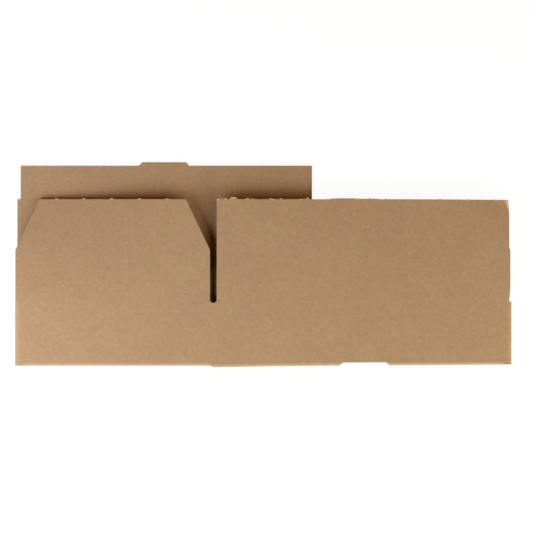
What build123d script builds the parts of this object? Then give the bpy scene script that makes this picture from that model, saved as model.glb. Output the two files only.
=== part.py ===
from build123d import *
import os
from math import atan2, cos, degrees, hypot, radians, sin, sqrt

# Auto-lock bottom carton in single-wall corrugated board, knocked flat and lying on its back walls.
# X runs along the folded width, Y from the bottom fold towards the top flaps, Z up through the layers.
# The sheet lies in five layers: back walls 0, back bottom flaps 1, glue tabs 2, front bottom flaps 3,
# front walls 4. Sizes are in millimetres.

# Board
board = 3.0
liner = 0.35
medium = 0.35
flute_pitch = 6.5
flute_crest = 1.2
flute_margin = 1.5
layer_gap = 0.1

# Walls, crease to crease
long_panel = 304.0
side_panel = 202.2
wall_height = 66.0
front_drop = 1.5
front_rise = 3.0
back_setback = 0.6
side_setback = 4.0
corner_relief = 0.8

# Side folds
nose_radius = 5.5
fold_clear = 6.5
roll_start = 8.0

# Scores pressed into the inside of the board
score_depth = 1.0
score_width = 2.4
score_strip = 3.0

# Top flaps
flap_depth = 104.0
long_flap_inset = 2.2
side_flap_inset = 0.3
side_bevel_x = 24.6
side_bevel_y = 52.1
slot_width = 6.8
slot_depth = 2.0
back_side_inset = 1.0

# Back long flap, with its narrower overlap and pull tab
overlap_depth = 34.4
overlap_inset = 3.4
overlap_end_gap = 1.2
pull_tab_top = 45.0
pull_tab_base = 51.0
pull_tab_height = 3.5

# Relief notch at the middle of each long bottom fold
notch_base = 43.5
notch_mouth = 50.7
notch_depth = 3.6
notch_offset = 2.0

# Long bottom flaps: one half is glued to a diagonal tab, the other is free
free_depth = 100.0
glued_depth = 122.0
free_end_gap = 0.8
glued_end_height = 62.0
glued_chamfer = 58.0
lock_width = 8.0
lock_depth = 30.0

# Side bottom flaps with the diagonal tab
minor_depth = 85.0
minor_end_gap = 2.2
minor_taper = 12.0
tab_start = 5.0
tab_length = 60.0
tab_reach = 82.0
tab_shoulder = 14.0

# Seam along the back
seam_tab_width = 32.0
seam_tab_margin = 8.0
seam_gap = 0.5
seam_rise = 6.0
seam_clear = 2.0

# Glue films
seam_glue_width = 22.0
tab_glue_width = 24.0
glue_margin = 6.0

# Worked out from the above
pitch_z = board + layer_gap
roll = board + layer_gap / 2
stack = 4 * pitch_z + board
folded_width = long_panel + side_panel
crease_y = wall_height
front_skew = degrees(atan2(front_rise, long_panel))
flap_top = crease_y + flap_depth
top_edge = flap_top + overlap_depth + pull_tab_height
centre_y = (top_edge - front_drop) / 2
back, back_flaps, tabs, front_flaps, front = range(5)


def layer_z(layer):
    return layer * pitch_z


# A flat piece of board with the given outline, lying in one layer
def sheet(points, layer, thickness=board):
    outline = make_face(Polyline(*points, close=True))
    return extrude(Pos(0, 0, layer_z(layer)) * outline, thickness, dir=(0, 0, 1))


# Cutter with the given outline that goes through two neighbouring layers
def cutter(points, lower_layer):
    return sheet(points, lower_layer, 2 * pitch_z)


# A section in X and Z carried along Y
def along_y(section, y_start, y_end):
    plane = Plane(origin=(0, y_start, 0), x_dir=(1, 0, 0), z_dir=(0, -1, 0))
    return extrude(plane * section, y_end - y_start, dir=(0, 1, 0))


# Two layers pinched together in a 180 degree fold. The round side is to the right of start to end.
def fold_roll(start, end, lower_layer):
    along = (end[0] - start[0], end[1] - start[1])
    length = hypot(*along)
    z_dir = (along[0] / length, along[1] / length, 0)
    middle = layer_z(lower_layer) + board + layer_gap / 2
    plane = Plane(origin=(start[0], start[1], middle), x_dir=(z_dir[1], -z_dir[0], 0), z_dir=z_dir)
    half_round = make_face([Line((0, -roll), (0, roll)), ThreePointArc((0, roll), (roll, 0), (0, -roll))])
    return extrude(plane * half_round, length)


# Sections of the flutes over a width, alternately wide at the lower and at the upper liner
def flute_sections(width):
    wide = flute_pitch - flute_crest - 2 * medium
    low, high = liner, board - liner
    channel = make_face(Polyline((-wide / 2, low), (wide / 2, low), (flute_crest / 2, high),
                                 (-flute_crest / 2, high), close=True))
    turned = make_face(Polyline((-flute_crest / 2, low), (flute_crest / 2, low), (wide / 2, high),
                                (-wide / 2, high), close=True))
    count = int((width - 2 * flute_margin - wide) / (flute_pitch / 2)) + 1
    first = width / 2 - (count - 1) * flute_pitch / 4
    return [Pos(first + i * flute_pitch / 2, 0) * (turned if i % 2 else channel) for i in range(count)]


# Board with open flutes along Y, between two heights of the section
def fluted(x_start, x_end, y_start, y_end, layer):
    width = x_end - x_start
    section = Pos(width / 2, board / 2) * Rectangle(width, board) - flute_sections(width)
    return Pos(x_start, 0, layer_z(layer)) * along_y(section, y_start, y_end)


# Flutes that open at the upper edge of a bottom flap, cut from the height of the top creases
def edge_flutes(x_start, x_end, y_end, layer):
    section = Sketch() + flute_sections(x_end - x_start)
    return Pos(x_start, 0, layer_z(layer)) * along_y(section, crease_y, y_end)


# Groove of a score across the board, on its inner face
def score(layer, inner_side_up):
    base = layer_z(layer) + (board if inner_side_up else 0)
    tip = base + (-score_depth if inner_side_up else score_depth)
    plane = Plane(origin=(0, 0, 0), x_dir=(0, 1, 0), z_dir=(1, 0, 0))
    groove = make_face(Polyline((crease_y - score_width / 2, base), (crease_y, tip),
                                (crease_y + score_width / 2, base), close=True))
    return extrude(plane * groove, folded_width)


# Side fold: the sheet turns round the edge of the stack. The slot between two top flaps ends in it.
def side_fold(y_start, slot_height):
    inner = nose_radius - board
    section = make_face([
        CenterArc((nose_radius, nose_radius), nose_radius, 180, 90),
        Line((0, nose_radius), (0, stack - nose_radius)),
        CenterArc((nose_radius, stack - nose_radius), nose_radius, 90, 90),
        Line((nose_radius, stack), (nose_radius, stack - board)),
        CenterArc((nose_radius, stack - nose_radius), inner, 90, 90),
        Line((board, stack - nose_radius), (board, nose_radius)),
        CenterArc((nose_radius, nose_radius), inner, 180, 90),
        Line((nose_radius, board), (nose_radius, 0)),
    ])
    slot_floor = crease_y - slot_depth
    slot = sheet(rectangle(-1, long_flap_inset, slot_floor, crease_y + 1), back, slot_height)
    return along_y(section, y_start, crease_y) - slot


# Relief notch at a long bottom fold, with its middle at u and the fold's edge at v = 0
def relief_notch(u, lower_layer):
    return cutter([(u - notch_mouth / 2, 0), (u - notch_base / 2, notch_depth), (u + notch_base / 2, notch_depth),
                   (u + notch_mouth / 2, 0), (u + notch_mouth / 2, -roll), (u - notch_mouth / 2, -roll)], lower_layer)


# Long bottom flap with its fold. u runs from the free end to the glued end, v up from the fold's edge.
def long_bottom_flap(layer, fold_layer):
    glued_end = long_panel - fold_clear
    lock = long_panel / 2 + notch_offset
    flap = sheet([(free_end_gap, roll), (long_panel - roll_start, roll), (glued_end, roll + fold_clear),
                  (glued_end, glued_end_height), (glued_end - glued_chamfer, glued_depth),
                  (lock + lock_width, glued_depth), (lock, free_depth), (free_end_gap, free_depth)], layer)
    lock_floor = free_depth - lock_depth
    flap -= Pos(lock, lock_floor, layer_z(layer)) * extrude(Circle(lock_width / 2), board)
    flap -= sheet([(lock - lock_width / 2, lock_floor), (lock + lock_width / 2, lock_floor),
                   (lock + lock_width / 2, glued_depth), (lock - lock_width / 2, glued_depth)], layer)
    flap += fold_roll((free_end_gap, roll), (long_panel - roll_start, roll), fold_layer)
    flap -= edge_flutes(free_end_gap, glued_end - flute_pitch, glued_depth + 1, layer)
    return flap - relief_notch(lock, fold_layer)


# Side bottom flap with its fold and its diagonal tab. u runs from the side fold.
def side_bottom_flap(layer, fold_layer, tab_fold_layer, root_end):
    shift = roll * sqrt(2)
    flap = sheet([(roll + shift, roll), (root_end, roll), (root_end - minor_taper, minor_depth),
                  (minor_depth + shift, minor_depth)], layer)
    flap += fold_roll((roll_start, roll), (root_end, roll), fold_layer)
    flap -= edge_flutes(minor_depth + shift, root_end - minor_taper, minor_depth + 1, layer)
    tab_tip = (tab_length + shift, tab_length)
    tab_root = (tab_start + shift, tab_start)
    flap += sheet([tab_root, (tab_reach, tab_start), (tab_reach, tab_length - tab_shoulder), tab_tip], tabs)
    return flap + fold_roll(tab_tip, tab_root, tab_fold_layer)


def mirrored(shape, width):
    return Pos(width, 0, 0) * mirror(shape, Plane.YZ)


# A point of the front wall, from its place along the skewed bottom fold and its height above it
def on_front_fold(u, v):
    turn = radians(front_skew)
    return (side_panel + u * cos(turn) - v * sin(turn), -front_drop + u * sin(turn) + v * cos(turn))


def front_walls():
    inner_end = side_panel - minor_end_gap
    wall = sheet([(nose_radius, corner_relief), (roll_start, corner_relief), (roll_start, roll),
                  (inner_end, roll), (inner_end, 0), on_front_fold(free_end_gap, front_drop),
                  on_front_fold(free_end_gap, roll), on_front_fold(long_panel - roll_start, roll),
                  (folded_width - nose_radius, front_rise), (folded_width - nose_radius, crease_y),
                  (nose_radius, crease_y)], front)
    slot_end = crease_y - slot_depth + slot_width / 2
    wall -= Pos(side_panel, slot_end, layer_z(front)) * extrude(Circle(slot_width / 2), board)
    middle_score = along_y(make_face(Polyline((side_panel - score_width / 2, layer_z(front)),
                                              (side_panel, layer_z(front) + score_depth),
                                              (side_panel + score_width / 2, layer_z(front)), close=True)),
                           roll + front_drop, crease_y)
    return wall - middle_score


def back_long_wall():
    edge = back_setback + roll
    return sheet([(nose_radius, corner_relief), (roll_start, corner_relief), (roll_start, edge),
                  (long_panel - seam_rise, edge), (long_panel - seam_rise, crease_y),
                  (nose_radius, crease_y)], back)


def back_side_wall():
    return sheet([(long_panel + seam_gap, side_setback + roll), (folded_width - nose_radius, side_setback + roll),
                  (folded_width - nose_radius, crease_y), (long_panel + seam_gap, crease_y)], back)


# The tab steps up from the back long wall and lies inside the back side wall
def seam_tab():
    start = long_panel - seam_rise
    end = long_panel + seam_tab_width
    section = make_face(Polyline((start, 0), (long_panel, pitch_z), (end, pitch_z), (end, pitch_z + board),
                                 (long_panel, pitch_z + board), (start, board), close=True))
    return along_y(section, seam_tab_margin, crease_y - seam_tab_margin)


# Bevelled narrow top flap, solid at its score and fluted above it
def side_top_flap(x_start, x_end, layer):
    flap = sheet([(x_start, crease_y), (x_end, crease_y), (x_end, crease_y + score_strip),
                  (x_start, crease_y + score_strip)], layer)
    flap += fluted(x_start, x_end, crease_y + score_strip, flap_top, layer)
    for x, inward in ((x_start, 1), (x_end, -1)):
        flap -= sheet([(x, flap_top - side_bevel_y), (x + inward * side_bevel_x, flap_top),
                       (x - inward, flap_top + 1), (x - inward, flap_top - side_bevel_y)], layer)
    return flap


def long_top_flap():
    x_start = side_panel + slot_width / 2
    x_end = folded_width - long_flap_inset
    flap = sheet([(x_start, crease_y), (x_end, crease_y), (x_end, crease_y + score_strip),
                  (x_start, crease_y + score_strip)], front)
    return flap + fluted(x_start, x_end, crease_y + score_strip, flap_top, front) - score(front, False)


# Back long flap: its left side is cut back above the front flaps, and its top edge carries the pull tab
def back_long_flap():
    x_start, x_end = long_flap_inset, long_panel - overlap_end_gap
    edge = flap_top + overlap_depth
    beyond = top_edge + 1
    middle = long_panel / 2
    slope = (pull_tab_base - pull_tab_top) / 2 / pull_tab_height
    flap = sheet([(x_start, crease_y), (x_end, crease_y), (x_end, crease_y + score_strip),
                  (x_start, crease_y + score_strip)], back)
    flap += fluted(x_start, x_end, crease_y + score_strip, top_edge, back)
    flap -= sheet([(x_start - 1, flap_top), (x_start + overlap_inset, flap_top), (x_start + overlap_inset, beyond),
                   (x_start - 1, beyond)], back)
    for outward, end in ((-1, x_start - 1), (1, x_end + 1)):
        base = middle + outward * pull_tab_base / 2
        flap -= sheet([(end, edge), (base, edge), (base - outward * slope * (beyond - edge), beyond),
                       (end, beyond)], back)
    return flap


def folded_sheet():
    body = front_walls()
    body += side_fold(corner_relief, stack / 2)
    body += mirrored(side_fold(front_rise, stack), folded_width)
    body += back_long_wall() + back_side_wall() + seam_tab()
    body += Pos(side_panel, -front_drop, 0) * Rot(0, 0, front_skew) * long_bottom_flap(front_flaps, front_flaps)
    body -= Pos(side_panel, -front_drop, 0) * Rot(0, 0, front_skew) * relief_notch(
        long_panel / 2 + notch_offset, front_flaps)
    body += Pos(0, back_setback, 0) * mirrored(long_bottom_flap(back_flaps, back), long_panel)
    body -= Pos(0, back_setback, 0) * relief_notch(long_panel / 2 - notch_offset, back)
    body += side_bottom_flap(front_flaps, front_flaps, tabs, side_panel - minor_end_gap)
    body += Pos(0, side_setback, 0) * mirrored(
        side_bottom_flap(back_flaps, back, back_flaps, side_panel - seam_tab_width - seam_clear), folded_width)
    body += back_long_flap()
    body += side_top_flap(long_panel + slot_width / 2, folded_width - back_side_inset, back)
    return body - score(back, True) - score(front, False)


# Glue film in the gap on top of a layer
def glue(points, layer):
    return Pos(0, 0, board) * sheet(points, layer, layer_gap)


def rectangle(x_start, x_end, y_start, y_end):
    return [(x_start, y_start), (x_end, y_start), (x_end, y_end), (x_start, y_end)]


def tab_glue_points(u_sign, origin_x, origin_y):
    u_end = tab_reach - glue_margin
    u_start = u_end - tab_glue_width
    v_start = tab_start + glue_margin
    v_end = tab_length - tab_shoulder - glue_margin
    ends = sorted((origin_x + u_sign * u_start, origin_x + u_sign * u_end))
    return rectangle(ends[0], ends[1], origin_y + v_start, origin_y + v_end)


seam_glue_start = long_panel + (seam_tab_width - seam_glue_width) / 2
nodes = {
    "carton": folded_sheet(),
    "front_flap": long_top_flap(),
    "side_flap": side_top_flap(side_flap_inset, side_panel - slot_width / 2, front) - score(front, False),
    "seam_glue": glue(rectangle(seam_glue_start, seam_glue_start + seam_glue_width, seam_tab_margin + glue_margin,
                                crease_y - seam_tab_margin - glue_margin), back),
    "left_tab_glue": glue(tab_glue_points(1, 0, 0), back_flaps),
    "right_tab_glue": glue(tab_glue_points(-1, folded_width, side_setback), tabs),
}

os.makedirs("parts", exist_ok=True)
for name, shape in nodes.items():
    export_step(Pos(-folded_width / 2, -centre_y, 0) * shape, f"parts/{name}.step")
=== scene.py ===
import math
import bmesh
import bpy
import numpy as np
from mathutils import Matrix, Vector


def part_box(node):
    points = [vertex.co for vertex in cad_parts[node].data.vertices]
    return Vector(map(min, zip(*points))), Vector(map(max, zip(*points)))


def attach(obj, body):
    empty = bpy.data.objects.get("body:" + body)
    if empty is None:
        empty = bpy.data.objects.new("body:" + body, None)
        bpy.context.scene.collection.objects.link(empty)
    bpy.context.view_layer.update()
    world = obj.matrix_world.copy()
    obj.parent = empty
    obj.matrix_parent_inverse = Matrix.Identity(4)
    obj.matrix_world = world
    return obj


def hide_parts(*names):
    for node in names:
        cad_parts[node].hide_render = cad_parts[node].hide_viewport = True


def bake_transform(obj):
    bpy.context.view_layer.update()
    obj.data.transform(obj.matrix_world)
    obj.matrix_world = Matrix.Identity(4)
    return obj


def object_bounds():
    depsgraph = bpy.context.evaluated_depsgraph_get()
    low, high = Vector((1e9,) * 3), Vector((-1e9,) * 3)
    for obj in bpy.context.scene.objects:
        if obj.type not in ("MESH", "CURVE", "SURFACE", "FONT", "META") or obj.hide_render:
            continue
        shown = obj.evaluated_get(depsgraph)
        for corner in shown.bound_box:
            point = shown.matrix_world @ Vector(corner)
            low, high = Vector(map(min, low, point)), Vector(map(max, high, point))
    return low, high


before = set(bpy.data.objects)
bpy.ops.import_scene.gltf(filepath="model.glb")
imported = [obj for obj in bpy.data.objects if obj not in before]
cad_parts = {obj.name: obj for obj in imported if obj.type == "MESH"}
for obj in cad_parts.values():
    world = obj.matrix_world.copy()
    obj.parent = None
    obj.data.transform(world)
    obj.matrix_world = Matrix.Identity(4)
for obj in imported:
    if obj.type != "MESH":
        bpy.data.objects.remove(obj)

cadLow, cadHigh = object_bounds()
mm = 0.001

# Auto-lock bottom carton in plain brown corrugated board, glued, knocked flat and seen from above.
# The carton's sizes are millimetres. x is counted from the left side fold and y from the bottom fold, as
# on the die-cut blank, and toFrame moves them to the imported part's place.
cartonLow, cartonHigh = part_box("carton")
frontFlapLow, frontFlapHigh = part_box("front_flap")
sideFlapLow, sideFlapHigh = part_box("side_flap")

# The sheet lies in five layers, counted from the table
layers = {"backWalls": 0, "backBottomFlaps": 1, "glueTabs": 2, "frontBottomFlaps": 3, "frontWalls": 4}

board = {
    "thickness": 3.0,
    "layerGap": 0.1,
    "liner": 0.35,
    "medium": 0.26,
    "flutePitch": 6.5,
    "waveSteps": 12,
    "columnStep": 1.08,
    "coarseStep": 4.0,
    "rowStep": 7.0,
    "levelRows": 3,
    "rollRows": 17,
    "turnColumns": 9,
    "waveClearance": 0.01,
    "waveMargin": 0.5,
    "waveInset": 0.4,
    "mergeDistance": 0.002,
    "sliverLength": 0.0001,
}

wall = {
    "height": 66.0,
    "sidePanel": 202.2,
    "longPanel": 304.0,
    "noseRadius": 5.5,
    "leftRelief": 0.1,
    "rightRelief": 1.4,
    "rollStart": 8.0,
    "sideEndGap": 2.2,
    "longEndGap": 0.8,
    "longRollEarly": 1.9,
    "longFlapLate": 3.2,
    "slotWidth": 6.8,
    "slotDepth": 2.0,
    "foldSlot": 2.2,
    "rightFoldCut": 0.7,
    "notchMouth": 50.7,
    "notchBase": 43.5,
    "notchDepth": 3.1,
    "notchOffset": 2.0,
    "notchBlend": 8.0,
    "slotArcStart": 0.55,
    "slotArcPoints": 13,
    "backSetback": 0.6,
    "sideSetback": 4.0,
    "seamRise": 6.0,
    "seamTabWidth": 32.0,
    "seamTabMargin": 8.0,
    "seamGap": 0.5,
    "seamClear": 2.0,
}

originX = cartonLow[0] / mm
originY = frontFlapLow[1] / mm - wall["height"]
foldedWidth = (cartonHigh[0] - cartonLow[0]) / mm
stackTop = cartonHigh[2] / mm
pitchZ = board["thickness"] + board["layerGap"]
rollRadius = board["thickness"] + board["layerGap"] / 2
creaseY = wall["height"]
flapTop = frontFlapHigh[1] / mm - originY
frontBase = layers["frontWalls"] * pitchZ
waveStep = board["flutePitch"] / board["waveSteps"]
tiny = 0.01


# From the carton's millimetres to the frame's metres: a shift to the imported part's place, then a scale
def toFrame(points):
    return (np.asarray(points, float) + [originX, originY, 0.0]) * mm


# Smooth repeatable roughness: the mean of sines with seeded phases, at most 1 high
def roughness(values, seed, wavelengths):
    rng = np.random.default_rng(seed)
    total = np.zeros_like(np.asarray(values, float))
    for wavelength in wavelengths:
        total += np.sin(2 * np.pi * np.asarray(values) / wavelength + rng.uniform(0, 2 * np.pi))
    return total / len(wavelengths)


# A mesh from grids of points, each rows by columns by 3. Shared edges are merged, and the result gets
# a thickness inwards (offset -1) or both ways (offset 0).
def surfaceMesh(grids, thickness, offset):
    points, faces, start = [], [], 0
    for grid in grids:
        rows, columns = grid.shape[:2]
        index = start + np.arange(rows * columns).reshape(rows, columns)
        corners = [index[:-1, :-1], index[:-1, 1:], index[1:, 1:], index[1:, :-1]]
        faces.append(np.stack(corners, -1).reshape(-1, 4))
        points.append(toFrame(grid).reshape(-1, 3))
        start += rows * columns
    mesh = bpy.data.meshes.new("surface")
    mesh.from_pydata(np.concatenate(points), [], np.concatenate(faces))
    work = bmesh.new()
    work.from_mesh(mesh)
    bmesh.ops.remove_doubles(work, verts=work.verts, dist=board["mergeDistance"] * mm)
    bmesh.ops.dissolve_degenerate(work, edges=work.edges, dist=board["sliverLength"] * mm)
    work.to_mesh(mesh)
    work.free()
    holder = bpy.data.objects.new("surface", mesh)
    bpy.context.collection.objects.link(holder)
    solid = holder.modifiers.new("board", "SOLIDIFY")
    solid.thickness = thickness * mm
    solid.offset = offset
    evaluated = holder.evaluated_get(bpy.context.evaluated_depsgraph_get())
    finished = bpy.data.meshes.new_from_object(evaluated)
    bpy.data.objects.remove(holder)
    bpy.data.meshes.remove(mesh)
    return finished


# A liner lies under its grid, which is a face of the board, and the fluting paper on both sides of its own
def linerMesh(grids):
    return surfaceMesh(grids, board["liner"], -1)


def mediumMesh(grids):
    return surfaceMesh(grids, board["medium"], 0)


# One object from several meshes, each with its own material, smooth except at sharp edges
def joinPiece(name, parts, sharpAngle=35.0):
    work = bmesh.new()
    materials = []
    for mesh, material in parts:
        if material not in materials:
            materials.append(material)
        first = len(work.faces)
        work.from_mesh(mesh)
        work.faces.ensure_lookup_table()
        for face in work.faces[first:]:
            face.material_index = materials.index(material)
        bpy.data.meshes.remove(mesh)
    mesh = bpy.data.meshes.new(name)
    work.to_mesh(mesh)
    work.free()
    for material in materials:
        mesh.materials.append(material)
    mesh.polygons.foreach_set("use_smooth", np.ones(len(mesh.polygons), bool))
    mesh.set_sharp_from_angle(angle=math.radians(sharpAngle))
    piece = bpy.data.objects.new(name, mesh)
    bpy.context.collection.objects.link(piece)
    return piece


# Puts a finished piece on a body, in place of the CAD nodes named
def show(name, parts, body, *nodes):
    piece = joinPiece(name, parts)
    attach(piece, body)
    if nodes:
        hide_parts(*nodes)
    print("made", name, len(piece.data.polygons))
    return piece


# Points of a flat panel: columns at the given x, each from its low to its high edge in equal steps,
# and heights(x, y) gives z
def panelGrid(columns, low, high, rowCount, heights):
    share = np.linspace(0.0, 1.0, rowCount)[:, None]
    y = low[None, :] + share * (high - low)[None, :]
    x = np.repeat(columns[None, :], rowCount, 0)
    return np.stack([x, y, heights(x, y)], -1)


# The same surface with its faces turned round
def flipped(grid):
    return grid[:, ::-1]


# A height function that gives z everywhere
def constantHeight(z):
    def heights(x, y):
        return np.full_like(x, z)
    return heights


# Even columns about a step apart, and the extra ones that lie between the ends
def columnsBetween(start, end, step, extra=()):
    count = max(2, int(round((end - start) / step)) + 1)
    inside = [value for value in extra if start < value < end]
    return np.unique(np.round(np.concatenate([np.linspace(start, end, count), inside]), 4))


# Rows enough for a bent piece of this length
def rowsOver(length):
    return max(2, int(round(length / board["rowStep"])) + 1)


# Columns at which a round slot end is drawn: points of an arc, seen along y
def arcBreaks(centre, radius, startAngle, count):
    return list(centre + radius * np.cos(np.linspace(startAngle, np.pi - startAngle, count)))


# Depth of the fluting paper below the board's outer face: a sine across the flutes
def fluteDepth(along):
    reach = (board["thickness"] - 2 * board["liner"] - board["medium"]) / 2 - board["waveClearance"]
    return board["thickness"] / 2 + reach * np.sin(2 * np.pi * along / board["flutePitch"])


# A piece that lies on another stays level
def noSag(x, y):
    return 0.0


# A flat piece of board in one layer: a liner above, a liner below and the wavy paper between them.
# low(x) and high(x) give its edges, and sag(x, y) lowers it.
def flatBoard(columns, low, high, layer, sag=noSag):
    base = layer * pitchZ
    margin = board["waveMargin"]
    lowEdge, highEdge = low(columns), high(columns)
    rowCount, waveRows = board["levelRows"], 2
    if sag is not noSag:
        rowCount = waveRows = rowsOver((highEdge - lowEdge).max())

    def surface(height):
        return panelGrid(columns, lowEdge, highEdge, rowCount, lambda x, y: height - sag(x, y) + 0 * x)

    def waveHeights(x, y):
        return base + board["thickness"] - fluteDepth(x) - sag(x, y)

    above = surface(base + board["thickness"])
    below = surface(base)
    across = np.arange(columns[0] + margin, columns[-1] - margin, waveStep)
    room = np.maximum(high(across) - low(across) - 2 * margin, tiny)
    middle = (high(across) + low(across)) / 2
    wave = panelGrid(across, middle - room / 2, middle + room / 2, waveRows, waveHeights)
    return [(linerMesh([above, flipped(below)]), outerLiner), (mediumMesh([wave]), fluting)]


# From 0 to 1 with level ends: three times the square less twice the cube
def smoothStep(value):
    part = np.clip(value, 0, 1)
    return part * part * (3 - 2 * part)


# The linear values of an sRGB hex colour, with an alpha of 1
def toLinear(hexColour):
    parts = np.array([int(hexColour[i:i + 2], 16) for i in (1, 3, 5)]) / 255
    linear = np.where(parts <= 0.04045, parts / 12.92, ((parts + 0.055) / 1.055) ** 2.4)
    return [*linear.tolist(), 1.0]


# Adds a node, gives its sockets values or links, and returns it
def addNode(tree, kind, properties=None, inputs=None):
    made = tree.nodes.new(kind)
    for key, value in (properties or {}).items():
        setattr(made, key, value)
    for key, value in (inputs or {}).items():
        socket = made.inputs[key]
        if isinstance(value, bpy.types.NodeSocket):
            tree.links.new(value, socket)
        else:
            socket.default_value = value
    return made


# A material with an empty node tree
def newMaterial(name):
    material = bpy.data.materials.new(name)
    material.use_nodes = True
    material.node_tree.nodes.clear()
    return material, material.node_tree


# Each pattern has its size in millimetres, the detail and roughness of its noise, and the two noise
# values between which it changes the colour.
kraft = {
    "darkFibre": "#8A6641",
    "paleFibre": "#D2B38D",
    "roughness": 0.86,
    "specular": 0.25,
    "patterns": {
        "cloud": (26.0, 3.0, 0.55, 0.3, 0.7),
        "grain": (3.4, 3.0, 0.75, 0.25, 0.75),
        "tint": (30.0, 2.0, 0.7, 0.35, 0.65),
        "fleck": (2.2, 2.0, 0.6, 0.36, 0.26),
        "fibre": (1.5, 2.0, 0.6, 0.62, 0.74),
    },
    "tintShift": (0.0042, -0.014, 0.014, 0.0),
    "fleckStretch": (1.0, 0.55, 1.0),
    "fleckTurn": 0.4,
    "fibreStretch": (0.35, 1.0, 1.0),
    "rippleStrength": 0.25,
    "rippleDepth": 0.03,
    "fuzzStrength": 0.6,
    "fuzzDepth": 0.12,
}

# Each paper's colour, and how strongly its clouds, its grain and its flecks show: the plain brown liner,
# the darker and cloudier recycled fluting, the pale raw paper where the liner is torn, and the paler liner
# at the knocked corner, which is partly a scuff and partly a painted highlight where the bent corner faces
# the light
papers = {
    "kraftLiner": ("#B4916D", 0.025, 0.115, 0.35),
    "recycledFlutingPaper": ("#9A7852", 0.08, 0.2, 0.4),
    "rawTornPaper": ("#DEC7A6", 0.03, 0.12, 0.3),
    # partly a scuff, partly a painted highlight where the knocked corner is bent towards the light
    "scuffAndPaintedHighlightLiner": ("#CDAA84", 0.04, 0.12, 0.3),
}


# Unbleached kraft liner, machine-made on a wire: matt, clouded by the paper's formation, partly rosy and
# partly olive, with a grain of short fibres, darker flecks of bark and paler loose fibres. The real fibres
# are 0.03 mm wide, too fine to show here, so they are drawn as coarse as kraft gives, and the flutes show
# as a faint ripple.
def kraftLiner(name, colour, cloudAmount, grainAmount, fleckAmount):
    material, tree = newMaterial(name)
    where = addNode(tree, "ShaderNodeTexCoord").outputs["Object"]
    slanted = addNode(tree, "ShaderNodeMapping", None, {
        "Vector": where, "Scale": kraft["fleckStretch"], "Rotation": (0.0, 0.0, kraft["fleckTurn"])})
    along = addNode(tree, "ShaderNodeMapping", None, {"Vector": where, "Scale": kraft["fibreStretch"]})
    directions = {"fleck": slanted.outputs["Vector"], "fibre": along.outputs["Vector"]}
    strengths = {"cloud": (1 - cloudAmount, 1 + cloudAmount), "grain": (1 - grainAmount, 1 + grainAmount),
                 "tint": (0.0, 1.0), "fleck": (0.0, fleckAmount), "fibre": (0.0, fleckAmount)}
    noises, shares = {}, {}
    for key, (size, detail, noiseRoughness, first, last) in kraft["patterns"].items():
        noises[key] = addNode(tree, "ShaderNodeTexNoise", None, {
            "Vector": directions.get(key, where), "Scale": 1 / (size * mm), "Detail": detail,
            "Roughness": noiseRoughness}).outputs["Fac"]
        shares[key] = addNode(tree, "ShaderNodeMapRange", None, {
            "Value": noises[key], "From Min": first, "From Max": last, "To Min": strengths[key][0],
            "To Max": strengths[key][1]}).outputs[0]
    shade = addNode(tree, "ShaderNodeMath", {"operation": "MULTIPLY"}, {
        0: shares["cloud"], 1: shares["grain"]})
    rosy = np.array(toLinear(colour)) * (1 + np.array(kraft["tintShift"]))
    olive = np.array(toLinear(colour)) * (1 - np.array(kraft["tintShift"]))
    tinted = addNode(tree, "ShaderNodeMix", {"data_type": "RGBA"}, {
        "Factor": shares["tint"], "A": rosy, "B": olive})
    base = addNode(tree, "ShaderNodeVectorMath", {"operation": "SCALE"}, {
        0: tinted.outputs["Result"], "Scale": shade.outputs[0]})
    withDark = addNode(tree, "ShaderNodeMix", {"data_type": "RGBA"}, {
        "Factor": shares["fleck"], "A": base.outputs[0], "B": toLinear(kraft["darkFibre"])})
    withPale = addNode(tree, "ShaderNodeMix", {"data_type": "RGBA"}, {
        "Factor": shares["fibre"], "A": withDark.outputs["Result"], "B": toLinear(kraft["paleFibre"])})
    wavesPerMetre = 1 / (board["flutePitch"] * mm)  # at scale 1 the wave texture repeats every pi / 10
    washboard = addNode(tree, "ShaderNodeTexWave", {
        "wave_type": "BANDS", "bands_direction": "X", "wave_profile": "SIN"}, {
        "Vector": where, "Scale": math.pi / 10 * wavesPerMetre, "Distortion": 0.0})
    ripple = addNode(tree, "ShaderNodeBump", None, {
        "Height": washboard.outputs["Fac"], "Strength": kraft["rippleStrength"],
        "Distance": kraft["rippleDepth"] * mm})
    fuzz = addNode(tree, "ShaderNodeBump", None, {
        "Height": noises["grain"], "Strength": kraft["fuzzStrength"], "Distance": kraft["fuzzDepth"] * mm,
        "Normal": ripple.outputs["Normal"]})
    shader = addNode(tree, "ShaderNodeBsdfPrincipled", None, {
        "Base Color": withPale.outputs["Result"], "Roughness": kraft["roughness"],
        "Specular IOR Level": kraft["specular"], "Normal": fuzz.outputs["Normal"]})
    addNode(tree, "ShaderNodeOutputMaterial", None, {"Surface": shader.outputs[0]})
    return material


adhesive = {"colour": "#D9CFB4", "streakSize": 3.0, "streakDetail": 3.0, "darkest": 0.85, "palest": 1.1,
            "roughness": 0.45}


# Dried white packaging adhesive: a thin, dull, slightly streaky film
def driedAdhesive():
    material, tree = newMaterial("driedPackagingAdhesive")
    where = addNode(tree, "ShaderNodeTexCoord").outputs["Object"]
    spread = addNode(tree, "ShaderNodeTexNoise", None, {
        "Vector": where, "Scale": 1 / (adhesive["streakSize"] * mm),
        "Detail": adhesive["streakDetail"]})
    shade = addNode(tree, "ShaderNodeMapRange", None, {
        "Value": spread.outputs["Fac"], "To Min": adhesive["darkest"], "To Max": adhesive["palest"]})
    colour = addNode(tree, "ShaderNodeVectorMath", {"operation": "SCALE"}, {
        0: toLinear(adhesive["colour"])[:3], "Scale": shade.outputs[0]})
    shader = addNode(tree, "ShaderNodeBsdfPrincipled", None, {
        "Base Color": colour.outputs[0], "Roughness": adhesive["roughness"]})
    addNode(tree, "ShaderNodeOutputMaterial", None, {"Surface": shader.outputs[0]})
    return material


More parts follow.
